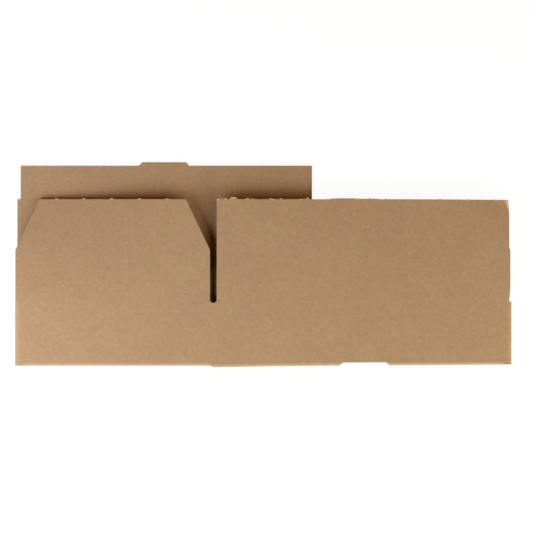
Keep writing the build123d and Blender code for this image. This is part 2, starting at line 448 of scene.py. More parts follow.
outerLiner, fluting, tornPaper, scuffAndHighlightLiner = [kraftLiner(name, *look) for name, look in papers.items()]
print("materials made")

# The walls' edges are functions of x in millimetres from the left fold
slotCentre = wall["sidePanel"]
slotEndY = creaseY - wall["slotDepth"] + wall["slotWidth"] / 2
lockMiddle = wall["longPanel"] / 2 + wall["notchOffset"]
notchMiddle = wall["sidePanel"] + lockMiddle
sideInnerEnd = wall["sidePanel"] - wall["sideEndGap"]
longStart = wall["sidePanel"] - wall["longRollEarly"]
rightPanelEnd = foldedWidth - wall["noseRadius"]
rightRollEnd = foldedWidth - wall["rollStart"]

# The long bottom fold was creased a little askew: low beside the corner, soon level, then slowly rising
foldShape = {"drop": 1.95, "catchUp": 52.0, "rise": 1.2, "riseBend": 1.8}
foldLowest = cadLow[1] / mm - originY


# Height of the front bottom fold: a dying exponential below zero plus a slow power curve above it, and
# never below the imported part
def frontFold(x):
    along = np.clip((np.asarray(x, float) - wall["sidePanel"]) / wall["longPanel"], 0, 1)
    early = np.exp(-along * wall["longPanel"] / foldShape["catchUp"])
    late = along ** foldShape["riseBend"]
    skewed = np.maximum(-foldShape["drop"] * early + foldShape["rise"] * late, foldLowest)
    return np.where(np.asarray(x) < longStart - tiny, 0.0, skewed)


# Height of the back bottom folds: one step, lower along the long panel
def backFold(x):
    return np.where(np.asarray(x) < wall["longPanel"], wall["backSetback"], wall["sideSetback"])


# Half width of the relief notch at a height above the fold
def notchSide(height):
    slope = (wall["notchMouth"] - wall["notchBase"]) / 2 / wall["notchDepth"]
    return wall["notchMouth"] / 2 - slope * np.clip(height, 0, wall["notchDepth"])


# Height of an edge above the fold beside the notch: the roll's height, or more inside the notch
def overNotch(fromMiddle):
    inside = notchSide(rollRadius) - np.abs(fromMiddle)
    slope = (wall["notchDepth"] - rollRadius) / (notchSide(rollRadius) - wall["notchBase"] / 2)
    return np.minimum(rollRadius + np.maximum(inside, 0) * slope, wall["notchDepth"])


# The four columns at which a notch's outline turns
def notchBreaks(middle):
    return [middle + side * notchSide(h) for side in (-1, 1) for h in (rollRadius, wall["notchDepth"])]


# Low edge of the front walls, where the rolls of the bottom folds or a cut edge begin
def frontWallLow(x):
    edge = np.where(x < wall["rollStart"], wall["leftRelief"], rollRadius)
    edge = np.where(x > sideInnerEnd, 0.0, edge)
    edge = np.where(x >= longStart, frontFold(x) + overNotch(x - notchMiddle), edge)
    return np.where(x > rightRollEnd, wall["rightRelief"], edge)


# High edge of the front walls: the crease line, cut by the round end of the slot between the two flaps
def frontWallHigh(x):
    off = np.clip(np.abs(x - slotCentre), 0, wall["slotWidth"] / 2)
    slot = slotEndY - np.sqrt((wall["slotWidth"] / 2) ** 2 - off ** 2)
    return np.minimum(creaseY, slot)


frontBreaks = [wall["rollStart"] - tiny, wall["rollStart"], sideInnerEnd, sideInnerEnd + tiny]
frontBreaks += [longStart - tiny, longStart, rightRollEnd, rightRollEnd + tiny] + notchBreaks(notchMiddle)
frontBreaks += arcBreaks(slotCentre, wall["slotWidth"] / 2, wall["slotArcStart"], wall["slotArcPoints"])
backLowBreaks = [wall["rollStart"] - tiny, wall["rollStart"]]
backNotchMiddle = wall["longPanel"] - lockMiddle


# Low edges of the back walls, where the rolls of their bottom folds begin
def backLongLow(x):
    edge = wall["backSetback"] + overNotch(x - backNotchMiddle)
    return np.where(x < wall["rollStart"], wall["leftRelief"], edge)


def backSideLow(x):
    return np.where(x > rightRollEnd, wall["rightRelief"], wall["sideSetback"] + rollRadius)


# High edge of the back walls: the level crease line
def atCrease(x):
    return np.full_like(x, creaseY)


# Section of a side fold at a depth inside the board: a quarter turn up from the table, a straight and a
# quarter turn on to the front wall. travel runs from 0 at the back wall to foldTravel at the front wall,
# and is measured along the middle of the board.
middleRadius = wall["noseRadius"] - board["thickness"] / 2
quarterTurn = math.pi / 2 * middleRadius
foldStraight = stackTop - 2 * wall["noseRadius"]
foldTravel = 2 * quarterTurn + foldStraight


def sideFoldSection(travel, depth):
    lowTurn = np.clip(travel, 0, quarterTurn) / middleRadius
    rise = np.clip(travel - quarterTurn, 0, foldStraight)
    highTurn = np.clip(travel - quarterTurn - foldStraight, 0, quarterTurn) / middleRadius
    radius = wall["noseRadius"] - depth
    x = wall["noseRadius"] - radius * np.where(highTurn > 0, np.cos(highTurn), np.sin(lowTurn))
    z = wall["noseRadius"] - radius * np.cos(lowTurn) + rise + radius * np.sin(highTurn)
    return x, z


# A side fold's surface. Its upper edge drops where the slot between two top flaps ends in the fold:
# over the back half only on the left, over the whole outer part on the right.
def sideFoldGrid(travel, depth, low, wholeSlot, rowCount):
    x, z = sideFoldSection(travel, depth)
    slotted = (x < wall["foldSlot"]) & (wholeSlot | (z < stackTop / 2))
    cut = wall["rightFoldCut"] if wholeSlot else wall["slotDepth"]
    high = np.where(slotted, creaseY - cut, creaseY)
    share = np.linspace(0, 1, rowCount)[:, None]
    y = low + share * (high - low)[None, :]
    return np.stack([np.repeat(x[None, :], rowCount, 0), y, np.repeat(z[None, :], rowCount, 0)], -1)


# The same surface on the other side fold, with its faces still outwards
def mirroredGrid(grid, width):
    turned = grid.copy()
    turned[..., 0] = width - turned[..., 0]
    return turned[:, ::-1]


# The left and the right side fold at a depth inside the board
def bothSideFolds(travel, depth, rowCount):
    left = sideFoldGrid(travel, depth, wall["leftRelief"], False, rowCount)
    right = mirroredGrid(sideFoldGrid(travel, depth, wall["rightRelief"], True, rowCount), foldedWidth)
    return [left, right]


# A roll of board pinched double along a fold line: half a turn from the lower layer to the upper one,
# bulging to the right of the way the points run. radius may change along the fold, and notch bends the
# roll's end to the notch's slanting side.
def rollGrid(pointsX, pointsY, lowerLayer, radius, outward=(0.0, -1.0), notch=None):
    angle = np.linspace(np.pi, 0, board["rollRows"])[:, None]
    reach = radius * np.sin(angle) * np.ones((1, len(pointsX)))
    x = pointsX[None, :] + outward[0] * reach
    y = pointsY[None, :] + outward[1] * reach
    if notch:
        shift = notchSide(rollRadius - reach) - notchSide(rollRadius)
        near = pointsX[-1] - pointsX if notch < 0 else pointsX - pointsX[0]
        x = x + notch * shift * np.clip(1 - near / wall["notchBlend"], 0, 1)[None, :]
    z = lowerLayer * pitchZ + rollRadius + radius * np.cos(angle) * np.ones((1, len(pointsX)))
    return np.stack([x, y, z], -1)


# Skins of a level bottom fold with its relief notch: the outer liner, and inside it the fluting paper,
# which keeps its waves as it goes round
def foldSkins(start, end, foldLine, lowerLayer, notchAt, step, extra=()):
    skins, cores = [], []
    stretches = [(start, end, None)]
    if notchAt:
        half = notchSide(rollRadius)
        stretches = [(start, notchAt - half, -1), (notchAt + half, end, 1)]
    for low, high, notch in stretches:
        x = columnsBetween(low, high, step, extra)
        skins.append(rollGrid(x, foldLine(x) + rollRadius, lowerLayer, rollRadius, notch=notch))
        x = np.arange(low + board["waveMargin"], high - board["waveMargin"], waveStep)
        inner = rollRadius - fluteDepth(x)
        cores.append(rollGrid(x, foldLine(x) + rollRadius, lowerLayer, inner[None, :], notch=notch))
    return skins, cores


wallRows = board["levelRows"]
turnSteps = np.linspace(0, quarterTurn, board["turnColumns"])
foldSteps = np.concatenate([turnSteps, quarterTurn + foldStraight + turnSteps])
waveSteps = np.linspace(0, foldTravel, int(foldTravel / board["flutePitch"] * board["waveSteps"]))


# The four walls: outer liner, inner liner and the fluting paper between them
def buildWalls():
    thickness = board["thickness"]
    frontX = columnsBetween(wall["noseRadius"], rightPanelEnd, board["columnStep"], frontBreaks)
    backX = columnsBetween(wall["noseRadius"], wall["longPanel"] - wall["seamRise"], board["coarseStep"],
                           backLowBreaks + notchBreaks(backNotchMiddle))
    sideX = columnsBetween(wall["longPanel"] + wall["seamGap"], rightPanelEnd, board["coarseStep"],
                           [rightRollEnd, rightRollEnd + tiny])
    outer = bothSideFolds(foldSteps, 0.0, wallRows)
    inner = [flipped(grid) for grid in bothSideFolds(foldSteps, thickness, wallRows)]
    waves = bothSideFolds(waveSteps, fluteDepth(waveSteps), wallRows)
    flats = [(frontX, frontWallLow, frontWallHigh, stackTop, stackTop - thickness),
             (backX, backLongLow, atCrease, 0.0, thickness),
             (sideX, backSideLow, atCrease, 0.0, thickness)]
    for x, low, high, outside, inside in flats:
        face = panelGrid(x, low(x), high(x), wallRows, constantHeight(outside))
        back = panelGrid(x, low(x), high(x), wallRows, constantHeight(inside))
        outer.append(face if outside else flipped(face))
        inner.append(flipped(back) if outside else back)
        across = np.arange(x[0], x[-1], waveStep)
        lowEnd, highEnd = low(across) + board["waveInset"], high(across) - board["waveInset"]
        inwards = -1 if outside else 1
        waves.append(panelGrid(across, lowEnd, highEnd, 2, lambda x, y: outside + inwards * fluteDepth(x)))
    backLongEnd = wall["longPanel"] - wall["longEndGap"]
    fine, coarse = board["columnStep"], board["coarseStep"]
    frontLayer, backLayer = layers["frontBottomFlaps"], layers["backWalls"]
    folds = [foldSkins(wall["rollStart"], sideInnerEnd, frontFold, frontLayer, None, fine, frontBreaks),
             foldSkins(longStart, rightRollEnd, frontFold, frontLayer, notchMiddle, fine, frontBreaks),
             foldSkins(wall["rollStart"], backLongEnd, backFold, backLayer, backNotchMiddle, coarse),
             foldSkins(sideRootEnd(True), rightRollEnd, backFold, backLayer, None, coarse)]
    for skins, cores in folds:
        outer += skins
        waves += cores
    return [(linerMesh(outer), outerLiner), (linerMesh(inner), outerLiner), (mediumMesh(waves), fluting)]


# Side bottom flaps, each folded back along a diagonal into a glue tab
sideBottom = {
    "depth": 85.0,
    "taper": 12.0,
    "tabStart": 5.0,
    "tabLength": 60.0,
    "tabReach": 82.0,
    "tabShoulder": 14.0,
    "leastRise": 0.2,
    "cornerGap": 0.5,
    "rollPoints": 60,
    "wavePoints": 120,
    "waveInset": 0.3,
}
diagonalShift = rollRadius * math.sqrt(2)


# Where a side bottom flap's fold line ends: short of the slot, or at the back short of the seam tab
def sideRootEnd(behind):
    if behind:
        return foldedWidth - (wall["sidePanel"] - wall["seamTabWidth"] - wall["seamClear"])
    return wall["sidePanel"] - wall["sideEndGap"]


# Upper edge of a side bottom flap over u, counted from its side fold: the diagonal, the level end and
# the tapered free side
def sideBottomHigh(u, rootLength):
    taper = sideBottom["depth"] - rollRadius
    free = sideBottom["depth"] - (u - rootLength + sideBottom["taper"]) * taper / sideBottom["taper"]
    free = np.maximum(free, rollRadius + sideBottom["leastRise"])
    return np.minimum(np.minimum(u - diagonalShift, sideBottom["depth"]), free)


# Upper edge of a glue tab: the diagonal, then a long slant down to its shoulder
def tabHigh(u):
    run = sideBottom["tabReach"] - sideBottom["tabLength"] - diagonalShift
    past = np.clip((u - sideBottom["tabLength"] - diagonalShift) / run, 0, 1)
    return np.minimum(u - diagonalShift, sideBottom["tabLength"] - past * sideBottom["tabShoulder"])


# The flap and its tab are flat, and the diagonal roll between them runs at 45 degrees
def buildSideBottomFlap(behind):
    rootLength = wall["sidePanel"] - wall["sideEndGap"]
    layer, setback = layers["frontBottomFlaps"], 0.0
    if behind:
        rootLength = foldedWidth - sideRootEnd(True)
        layer, setback = layers["backBottomFlaps"], wall["sideSetback"]
    lowerLayer = min(layer, layers["glueTabs"])

    def along(x):
        return foldedWidth - x if behind else x

    def placed(start, end, breaks):
        u = columnsBetween(start, end, board["columnStep"], breaks)
        return np.sort(along(u))

    firstU = rollRadius + diagonalShift + sideBottom["cornerGap"]
    x = placed(firstU, rootLength, [sideBottom["depth"] + diagonalShift, rootLength - sideBottom["taper"]])
    parts = flatBoard(x, lambda x: np.full_like(x, setback + rollRadius),
                      lambda x: setback + sideBottomHigh(along(x), rootLength), layer)
    tabStart, tabEnd = sideBottom["tabStart"], sideBottom["tabLength"]
    firstU = tabStart + diagonalShift + sideBottom["cornerGap"]
    x = placed(firstU, sideBottom["tabReach"], [tabEnd + diagonalShift])
    parts += flatBoard(x, lambda x: np.full_like(x, setback + tabStart),
                       lambda x: setback + tabHigh(along(x)), layers["glueTabs"])

    half = math.sqrt(0.5)

    def diagonalRoll(line, radius):
        u = line + diagonalShift
        if behind:
            return rollGrid(foldedWidth - u, setback + line, lowerLayer, radius, (half, half))
        return rollGrid(u[::-1], line[::-1], lowerLayer, radius[::-1], (-half, half))

    steps = np.linspace(tabStart, tabEnd, sideBottom["rollPoints"])
    inset = sideBottom["waveInset"]
    wave = np.linspace(tabStart + inset, tabEnd - inset, sideBottom["wavePoints"])
    skin = diagonalRoll(steps, np.full_like(steps, rollRadius))
    core = diagonalRoll(wave, rollRadius - fluteDepth(wave * math.sqrt(2)))
    return parts + [(linerMesh([skin]), outerLiner), (mediumMesh([core]), fluting)]


# Long bottom flaps: a glued half with a chamfered end and a free half, parted by the lock slot
longBottom = {
    "freeDepth": 100.0,
    "gluedDepth": 122.0,
    "gluedEndHeight": 62.0,
    "gluedChamfer": 58.0,
    "lockWidth": 8.0,
    "lockDepth": 30.0,
    "foldClear": 6.5,
    "sag": 2.9,
    "sagRise": 60.0,
    "sagRun": 120.0,
    "lockArcStart": 0.35,
    "lockArcPoints": 9,
}
longGluedEnd = wall["longPanel"] - longBottom["foldClear"]


# Upper edge over u, counted from the free end: the free half, the round-bottomed lock slot, a short
# slant up to the glued half, and its long chamfer
def longBottomHigh(u):
    half = longBottom["lockWidth"] / 2
    past = u - lockMiddle
    slotFloor = longBottom["freeDepth"] - longBottom["lockDepth"]
    slot = slotFloor - np.sqrt(np.clip(half ** 2 - past ** 2, 0, None))
    freeDepth, gluedDepth = longBottom["freeDepth"], longBottom["gluedDepth"]
    slant = freeDepth + past / longBottom["lockWidth"] * (gluedDepth - freeDepth)
    edge = np.clip(slant, freeDepth, gluedDepth)
    edge = np.where(np.abs(past) < half, slot, edge)
    slope = (gluedDepth - longBottom["gluedEndHeight"]) / longBottom["gluedChamfer"]
    return np.minimum(edge, longBottom["gluedEndHeight"] + (longGluedEnd - u) * slope)


# Lower edge: the roll's height, more over the notch, and a slant that clears the side fold at the glued end
def longBottomLow(u):
    rollEnd = wall["longPanel"] - wall["rollStart"]
    lifted = np.clip((u - rollEnd) / (longGluedEnd - rollEnd), 0, 1) * longBottom["foldClear"]
    return overNotch(u - lockMiddle) + lifted


# The front flap's free half has nothing under it, and sags away from the fold
def buildLongBottomFlap(behind):
    half = longBottom["lockWidth"] / 2
    breaks = [lockMiddle + side * (half + nudge) for side in (-1, 1) for nudge in (-tiny, 0.0)]
    breaks += arcBreaks(lockMiddle, half, longBottom["lockArcStart"], longBottom["lockArcPoints"])
    breaks += [lockMiddle + longBottom["lockWidth"], longGluedEnd - longBottom["gluedChamfer"],
               wall["longPanel"] - wall["rollStart"]] + notchBreaks(lockMiddle)
    firstU = wall["longEndGap"] if behind else wall["longFlapLate"]
    u = columnsBetween(firstU, longGluedEnd, board["columnStep"], breaks)

    def along(x):
        return wall["longPanel"] - x if behind else x - wall["sidePanel"]

    def foldLine(x):
        return backFold(x) if behind else frontFold(x)

    def sag(x, y):
        free = smoothStep((lockMiddle - along(x)) / longBottom["sagRun"])
        return longBottom["sag"] * free * smoothStep((y - rollRadius) / longBottom["sagRise"])

    x = np.sort(wall["longPanel"] - u if behind else u + wall["sidePanel"])
    layer, lowering = layers["frontBottomFlaps"], sag
    if behind:
        layer, lowering = layers["backBottomFlaps"], noSag
    return flatBoard(x, lambda x: foldLine(x) + longBottomLow(along(x)),
                     lambda x: foldLine(x) + longBottomHigh(along(x)), layer, lowering)


# The seam tab leaves the back long wall with a soft step up and lies inside the back side wall
def buildSeamTab():
    start = wall["longPanel"] - wall["seamRise"]
    end = wall["longPanel"] + wall["seamTabWidth"]
    x = columnsBetween(start, end, board["columnStep"])
    lift = pitchZ * smoothStep((x - start) / wall["seamRise"])

    def stepped(columns, heights, inset, rowCount):
        low = np.full_like(columns, wall["seamTabMargin"] + inset)
        return panelGrid(columns, low, creaseY - low, rowCount, lambda x, y: heights[None, :] + 0 * x)

    below = stepped(x, lift, 0.0, wallRows)
    above = stepped(x, lift + board["thickness"], 0.0, wallRows)
    across = np.arange(start, end - board["waveMargin"], waveStep)
    wave = np.interp(across, x, lift) + fluteDepth(across)
    wavy = stepped(across, wave, board["waveInset"], 2)
    return [(linerMesh([flipped(below), above]), outerLiner), (mediumMesh([wavy]), fluting)]


show("cartonWalls", buildWalls(), "folded_sheet", "carton")
show("frontSideBottomFlap", buildSideBottomFlap(False), "folded_sheet")
show("backSideBottomFlap", buildSideBottomFlap(True), "folded_sheet")
show("frontLongBottomFlap", buildLongBottomFlap(False), "folded_sheet")
show("backLongBottomFlap", buildLongBottomFlap(True), "folded_sheet")
show("seamTab", buildSeamTab(), "folded_sheet")

# What all top flaps share: the die's ties, the crushed edges and the torn flakes at the ties
topFlap = {
    "nickPitch": 28.3,
    "nickHeight": 1.0,
    "nickWidth": 1.3,
    "nickCount": 12,
    "edgeBelow": 0.2,
    "edgeFuzz": 0.12,
    "edgeFuzzLengths": (2.3, 3.7, 6.1, 11.0),
    "edgeRows": 9,
    "sideCrush": 0.55,
    "crushWidth": 4.5,
    "topCrush": 0.15,
    "topCrushWidth": 2.0,
    "waveStart": 3.0,
    "waveSetback": 0.35,
    "waveFuzz": 0.25,
    "waveFuzzLengths": (1.7, 4.1),
    "waveFuzzSeed": 5,
    "waveInset": 0.6,
    "waveRows": 9,
    "cutColumns": (0.5, 1.6),
    "outerLift": 0.5,
    "scoreRun": 4.0,
    "fineRun": 12.0,
    "pullWidth": 9.0,
    "flakeWidth": 3.0,
    "flakeDepth": 1.1,
    "flakeThickness": 0.1,
    "flakeLift": 0.08,
    "flakeFlatness": 0.08,
    "flakeEndGap": 0.1,
    "flakeColumns": 9,
    "flakeRows": 7,
}

# torn has the middle, height and width of each torn bit of liner, and the corner entry the inset, width and
# depth of the paler spot at the knocked corner: a scuff, and a painted highlight where the bent corner
# faces the light
longFlap = dict(topFlap, edgeFuzzSeed=11, firstNick=1.5, nickHeight=0.35, curl=1.45, curlLength=15.0,
                curlBend=1.1, dent=1.5, dentReach=10.0, dentFade=40.0, skewStart=185.0, skewDrop=0.75,
                tieEndGap=10.0, cornerScuffAndHighlight=(0.4, 6.0, 9.0), tornWide=8.0, tornHigh=0.9,
                torn=[(5.8, 0.65, 3.0), (9.0, 1.0, 2.4), (17.2, 2.0, 7.5), (31.2, 1.45, 3.4),
                      (36.5, 0.8, 4.0), (55.1, 1.0, 2.2), (65.5, 1.0, 2.0), (89.0, 0.5, 3.0),
                      (92.7, 1.6, 2.2), (120.9, 1.3, 2.2), (131.0, 0.95, 32.0), (145.0, 1.1, 2.2),
                      (156.0, 0.5, 20.0), (156.2, 1.1, 2.2), (172.0, 0.7, 2.2)])
sideFlap = dict(topFlap, edgeFuzzSeed=12, firstNick=13.3, torn=[], bevelX=24.6, bevelY=52.1,
                droopSpread=13.0, droopLess=2.0, droopMost=8.2, droopBend=1.4)
backFlap = dict(topFlap, flapInset=2.2, inset=3.4, endGap=1.2, overlap=34.2, tabTop=45.0, tabBase=51.0,
                tabHeight=3.5, edgeWave=0.1, edgeWaveLengths=(2.9, 5.3, 13.0, 61.0), edgeWaveSeed=21,
                sideInset=1.0, relief=1.2, reliefLength=12.0, narrowShort=1.6)


# Height of a cut edge above its nominal line: nicks left by the die at an even pitch, torn bits of
# liner, and fine fuzz. Each bump is a flat-topped bell in x.
def edgeBumps(x, start, values):
    away = (x - start - values["firstNick"]) / values["nickPitch"]
    fromNick = np.abs(away - np.round(away)) * values["nickPitch"]
    bumps = values["nickHeight"] * np.exp(-(fromNick / values["nickWidth"]) ** 4)
    for middle, height, width in values["torn"]:
        bumps = np.maximum(bumps, height * np.exp(-(np.abs(x - start - middle) / width * 2) ** 6))
    fuzz = roughness(x, values["edgeFuzzSeed"], values["edgeFuzzLengths"])
    return bumps + values["edgeFuzz"] * fuzz


# How far the knife crushed the board near the cut side and top edges: squares that die away from them
def edgeCrush(x, y, start, end, top, values):
    side = np.minimum(x - start, end - x)
    sideDrop = values["sideCrush"] * np.clip(1 - side / values["crushWidth"], 0, 1) ** 2
    return sideDrop + values["topCrush"] * np.clip(1 - (top - y) / values["topCrushWidth"], 0, 1) ** 2


# Middles, widths, depths and materials of the flakes at a flap's ties between two points of its edge
def tieFlakes(start, low, high, values):
    first = start + values["firstNick"]
    middles = [first + values["nickPitch"] * number for number in range(values["nickCount"])]
    return [(middle, values["flakeWidth"], values["flakeDepth"], tornPaper)
            for middle in middles if low < middle < high]


# A top flap from its crease to its cut edge: two liners and the wavy paper between them. outerUp says
# which side the outer liner is on, curl(y) pulls in the right edge, and sag(x, y) lowers the flap. flakes
# are paler spots at the upper edge, each with its own material: mostly raw paper where the liner's face is
# torn off, and on the long flap's knocked corner a scuff that is partly a painted highlight.
def buildTopFlap(start, end, base, outerUp, highEdge, values, extra=(), curl=None, sag=noSag, flakes=()):
    cuts = [edge for inset in values["cutColumns"] for edge in (start + inset, end - inset)]
    x = columnsBetween(start, end, board["columnStep"], [*cuts, *extra])
    high = highEdge(x)
    reach = high.max() - creaseY
    share = np.unique(np.concatenate([np.linspace(0, values["scoreRun"] / reach, values["edgeRows"]),
                                      np.linspace(0, 1, rowsOver(reach)),
                                      np.linspace(1 - values["fineRun"] / reach, 1, values["edgeRows"])]))
    y = creaseY + share[:, None] * (high - creaseY)[None, :]
    x = np.repeat(x[None, :], len(share), 0)
    top = base + board["thickness"]

    def pulledIn(x, y):
        return x + curl(y) * np.clip(1 - (end - x) / values["pullWidth"], 0, 1) if curl else x

    def waveHeights(x, y):
        return top - fluteDepth(x) - sag(x, y)

    crush = edgeCrush(x, y, start, end, high.max(), values)
    lift = values["outerLift"] if outerUp else 0.0
    above = np.stack([pulledIn(x, y), y, top - crush - sag(x, y)], -1)
    below = np.stack([pulledIn(x, y), y, base + lift * crush - sag(x, y)], -1)
    across = np.arange(start + values["waveInset"], end - values["waveInset"], waveStep)
    waveLow = np.full_like(across, creaseY + values["waveStart"])
    ragged = values["waveFuzz"] * roughness(across, values["waveFuzzSeed"], values["waveFuzzLengths"])
    waveHigh = highEdge(across) - values["waveSetback"] + ragged
    wave = panelGrid(across, waveLow, waveHigh, values["waveRows"], waveHeights)
    wave[..., 0] = pulledIn(wave[..., 0], wave[..., 1])
    parts = [(linerMesh([above, flipped(below)]), outerLiner), (mediumMesh([wave]), fluting)]
    for middle, width, depth, material in flakes:
        last = min(middle + width / 2, end - values["flakeEndGap"])
        across = np.linspace(middle - width / 2, last, values["flakeColumns"])
        outline = np.clip(1 - (np.abs(across - middle) / width * 2) ** 4, values["flakeFlatness"], 1)
        edge = highEdge(across)
        grid = panelGrid(across, edge - depth * outline, edge, values["flakeRows"], constantHeight(0.0))
        x, y = grid[..., 0], grid[..., 1]
        crush = edgeCrush(x, y, start, end, high.max(), values)
        z = np.minimum(top - crush - sag(x, y) + values["flakeLift"], stackTop)
        flake = np.stack([pulledIn(x, y), y, z], -1)
        parts.append((surfaceMesh([flake], values["flakeThickness"], -1), material))
    return parts


def hang(name, parts, node):
    piece = joinPiece(name, parts)
    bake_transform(piece)
    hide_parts(node)
    print("made", name, len(piece.data.polygons))


longFlapStart = frontFlapLow[0] / mm - originX
longFlapEnd = frontFlapHigh[0] / mm - originX
sideFlapStart = sideFlapLow[0] / mm - originX
sideFlapEnd = sideFlapHigh[0] / mm - originX


# The long flap's cut edge falls slightly towards the right, and bears nicks and torn bits
def longFlapEdge(x):
    halfLength = (longFlapEnd - longFlapStart) / 2
    skew = longFlap["skewDrop"] * smoothStep((x - longFlapStart - longFlap["skewStart"]) / halfLength)
    return flapTop - longFlap["edgeBelow"] - skew + edgeBumps(x, longFlapStart, longFlap)


# The right edge is pulled in near the top: a power curve of the height
def curledCorner(y):
    near = np.clip(1 - (flapTop - y) / longFlap["curlLength"], 0, 1)
    return -longFlap["curl"] * near ** longFlap["curlBend"]


# A knock has bent the upper right corner: the board is dented a little way in and turns up again outside
def cornerDent(x, y):
    inwards = np.maximum((longFlapEnd - x) + (flapTop - y), 0)
    rise = smoothStep(inwards / longFlap["dentReach"])
    fall = smoothStep((inwards - longFlap["dentReach"]) / longFlap["dentFade"])
    return longFlap["dent"] * rise * (1 - fall)


# A straight cut edge with nicks between two slanting bevels
def sideFlapEdge(x):
    inward = np.minimum(x - sideFlapStart, sideFlapEnd - x)
    straight = flapTop - sideFlap["edgeBelow"]
    bevel = flapTop - sideFlap["bevelY"] * (1 - np.clip(inward / sideFlap["bevelX"], 0, 1))
    bumps = edgeBumps(x, sideFlapStart, sideFlap)
    return np.where(inward < sideFlap["bevelX"], np.minimum(bevel, straight), straight + bumps)


# Raw paper shows at the long flap's ties and at its larger torn bits. The knocked corner gets a paler
# liner, partly a scuff and partly a painted highlight where the bent corner faces the light
longFlakes = tieFlakes(longFlapStart, longFlapStart, longFlapEnd - longFlap["tieEndGap"], longFlap)
longFlakes += [(longFlapStart + middle, width, longFlap["flakeDepth"], tornPaper)
               for middle, height, width in longFlap["torn"]
               if width < longFlap["tornWide"] and height > longFlap["tornHigh"]]
# painted highlight: the knocked corner's spot is drawn paler than the liner as if lit, as well as scuffed
cornerInset, cornerWidth, cornerDepth = longFlap["cornerScuffAndHighlight"]
longFlakes.append((longFlapEnd - cornerInset, cornerWidth, cornerDepth, scuffAndHighlightLiner))
hang("frontLongFlap", buildTopFlap(longFlapStart, longFlapEnd, frontBase, True, longFlapEdge, longFlap,
                                   curl=curledCorner, sag=cornerDent, flakes=longFlakes),
     "front_flap")


# The side flap droops towards its free edge: its left corner nearly rests on the back flap, and its right
# side stays up
def sideDroop(x, y):
    out = np.clip((y - creaseY) / (flapTop - creaseY), 0, 1)
    left = 1 - np.clip((x - sideFlapStart) / (sideFlapEnd - sideFlapStart), 0, 1)
    most = np.clip(sideFlap["droopSpread"] * left - sideFlap["droopLess"], 0, sideFlap["droopMost"])
    return most * out ** sideFlap["droopBend"]


sideCorners = [sideFlapStart + sideFlap["bevelX"], sideFlapEnd - sideFlap["bevelX"]]
hang("frontSideFlap", buildTopFlap(sideFlapStart, sideFlapEnd, frontBase, True, sideFlapEdge, sideFlap,
                                   sideCorners, sag=sideDroop,
                                   flakes=tieFlakes(sideFlapStart, *sideCorners, sideFlap)),
     "side_flap")

backLongStart = backFlap["flapInset"]
backLongEnd = wall["longPanel"] - backFlap["endGap"]
backSideStart = wall["longPanel"] + wall["slotWidth"] / 2
backSideEnd = foldedWidth - backFlap["sideInset"]
overlapStart = backLongStart + backFlap["inset"]


# Upper edge of the back long flap: cut back at the left, then level, with the pull tab in the middle
def backLongEdge(x):
    edge = flapTop + backFlap["overlap"]
    fromBase = backFlap["tabBase"] / 2 - np.abs(x - wall["longPanel"] / 2)
    slantWidth = (backFlap["tabBase"] - backFlap["tabTop"]) / 2
    tab = backFlap["tabHeight"] * np.clip(fromBase / slantWidth, 0, 1)
    step = np.where(x < overlapStart - tiny, flapTop, edge + tab)
    wave = roughness(x, backFlap["edgeWaveSeed"], backFlap["edgeWaveLengths"])
    return step + backFlap["edgeWave"] * (wave - 1)


# The narrow flap's right edge is relieved just above its crease
def narrowRelief(y):
    return -backFlap["relief"] * np.clip(1 - (y - creaseY) / backFlap["reliefLength"], 0, 1)


# Two slanting bevels and a straight edge, a little lower than the front flaps'
def backSideEdge(x):
    inward = np.minimum(x - backSideStart, backSideEnd - x)
    bevel = flapTop - sideFlap["bevelY"] * (1 - np.clip(inward / sideFlap["bevelX"], 0, 1))
    return np.minimum(bevel, flapTop - backFlap["narrowShort"])


tabBreaks = [wall["longPanel"] / 2 + side * half / 2 for side in (-1, 1)
             for half in (backFlap["tabBase"], backFlap["tabTop"])]
show("backLongFlap", buildTopFlap(backLongStart, backLongEnd, 0.0, False, backLongEdge, backFlap,
                                  tabBreaks + [overlapStart - 2 * tiny, overlapStart]), "folded_sheet")
show("backSideFlap", buildTopFlap(backSideStart, backSideEnd, 0.0, False, backSideEdge, backFlap,
                                  [backSideStart + sideFlap["bevelX"], backSideEnd - sideFlap["bevelX"]],
                                  curl=narrowRelief), "folded_sheet")

for node in ("seam_glue", "left_tab_glue", "right_tab_glue"):
    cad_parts[node].data.materials.clear()
    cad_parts[node].data.materials.append(driedAdhesive())

# Lengths in metres. Each lamp has its bearing, counted in degrees from the front towards the left, its
# height in degrees above the table, its distance, its size, its power and its colour.
studio = {
    "cameraDistance": 16.0,
    "clipEnd": 100.0,
    "sensorMillimetres": 36.0,
    "frameWidth": 0.5434,
    "aimX": 0.0033,
    "aimY": -0.0020,
    "floorSize": 12.0,
    "floorBelow": 0.0002,
    "floorColour": (0.8, 0.8, 0.8, 1.0),
    "floorSeen": (0.1, 0.1, 0.1, 1.0),
    "floorGlow": 0.94,
    "white": (1.0, 1.0, 1.0, 1.0),
    "fillColour": (0.40, 0.25, 0.11, 1.0),
    "fillStrength": 0.12,
    "lamps": [("leftLamp", 60, 30, 0.7, 0.6, 5.5, (0.813, 0.917, 1.0)),
              ("lowFrontLamp", -20, 12, 1.3, 0.5, 2.8, (0.9, 1.0, 0.93)),
              ("rightFrontLamp", -45, 22, 1.0, 0.9, 9.85, (0.89, 0.98, 1.0)),
              ("warmBackLamp", 135, 22, 1.0, 0.9, 2.15, (1.0, 0.26, 0.04)),
              ("warmRightLamp", -90, 45, 1.0, 0.9, 2.75, (1.0, 0.74, 0.36))],
}


